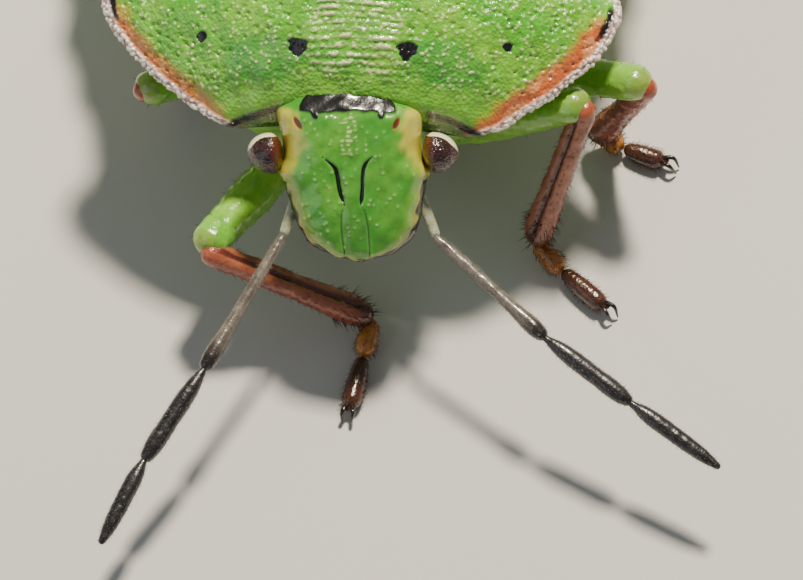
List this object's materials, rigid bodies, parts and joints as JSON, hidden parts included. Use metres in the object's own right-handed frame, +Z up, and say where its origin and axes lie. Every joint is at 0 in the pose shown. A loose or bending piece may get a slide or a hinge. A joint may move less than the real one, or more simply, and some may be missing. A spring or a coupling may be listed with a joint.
{
  "type": "stink bug nymph",
  "caption": "Still, life-size green stink bug nymph standing on the floor, head low and feelers spread; a natural-history display model.",
  "frame": {"origin": "on the floor under the middle of the whole model's box", "axes": "+Z up, +Y from the head towards the tail, +X towards the bug's left"},
  "size_m": [0.0098, 0.0146, 0.0038],
  "materials": {
    "head_green": "glossy pitted cuticle",
    "eye_brown": "glossy facets",
    "shell_green": "glossy pitted cuticle",
    "abdomen_green": "satin cuticle",
    "belly_green": "waxy satin cuticle",
    "leg_green": "glossy cuticle",
    "tibia_red": "satin cuticle with bristles",
    "tarsus_brown": "glossy cuticle with bristles",
    "feeler_green": "satin cuticle",
    "feeler_grey": "fine pale down",
    "feeler_black": "fine pale down"
  },
  "bodies": {
    "root": {"head": "head_green", "eye_left": "eye_brown", "eye_right": "eye_brown", "pronotum": "shell_green", "scutellum": "shell_green", "wing_pad_left": "shell_green", "wing_pad_right": "shell_green", "abdomen": "abdomen_green", "thorax": "belly_green", "rostrum": "belly_green", "fore_left_coxa": "leg_green", "fore_left_femur": "leg_green", "fore_left_tibia": "tibia_red", "fore_left_tarsus": "tarsus_brown", "fore_right_coxa": "leg_green", "fore_right_femur": "leg_green", "fore_right_tibia": "tibia_red", "fore_right_tarsus": "tarsus_brown", "mid_left_coxa": "leg_green", "mid_left_femur": "leg_green", "mid_left_tibia": "tibia_red", "mid_left_tarsus": "tarsus_brown", "mid_right_coxa": "leg_green", "mid_right_femur": "leg_green", "mid_right_tibia": "tibia_red", "mid_right_tarsus": "tarsus_brown", "hind_left_coxa": "leg_green", "hind_left_femur": "leg_green", "hind_left_tibia": "tibia_red", "hind_left_tarsus": "tarsus_brown", "hind_right_coxa": "leg_green", "hind_right_femur": "leg_green", "hind_right_tibia": "tibia_red", "hind_right_tarsus": "tarsus_brown", "antenna_left_1": "feeler_green", "antenna_left_2": "feeler_grey", "antenna_left_3": "feeler_black", "antenna_left_4": "feeler_black", "antenna_right_1": "feeler_green", "antenna_right_2": "feeler_grey", "antenna_right_3": "feeler_black", "antenna_right_4": "feeler_black"}
  },
  "joints": []
}
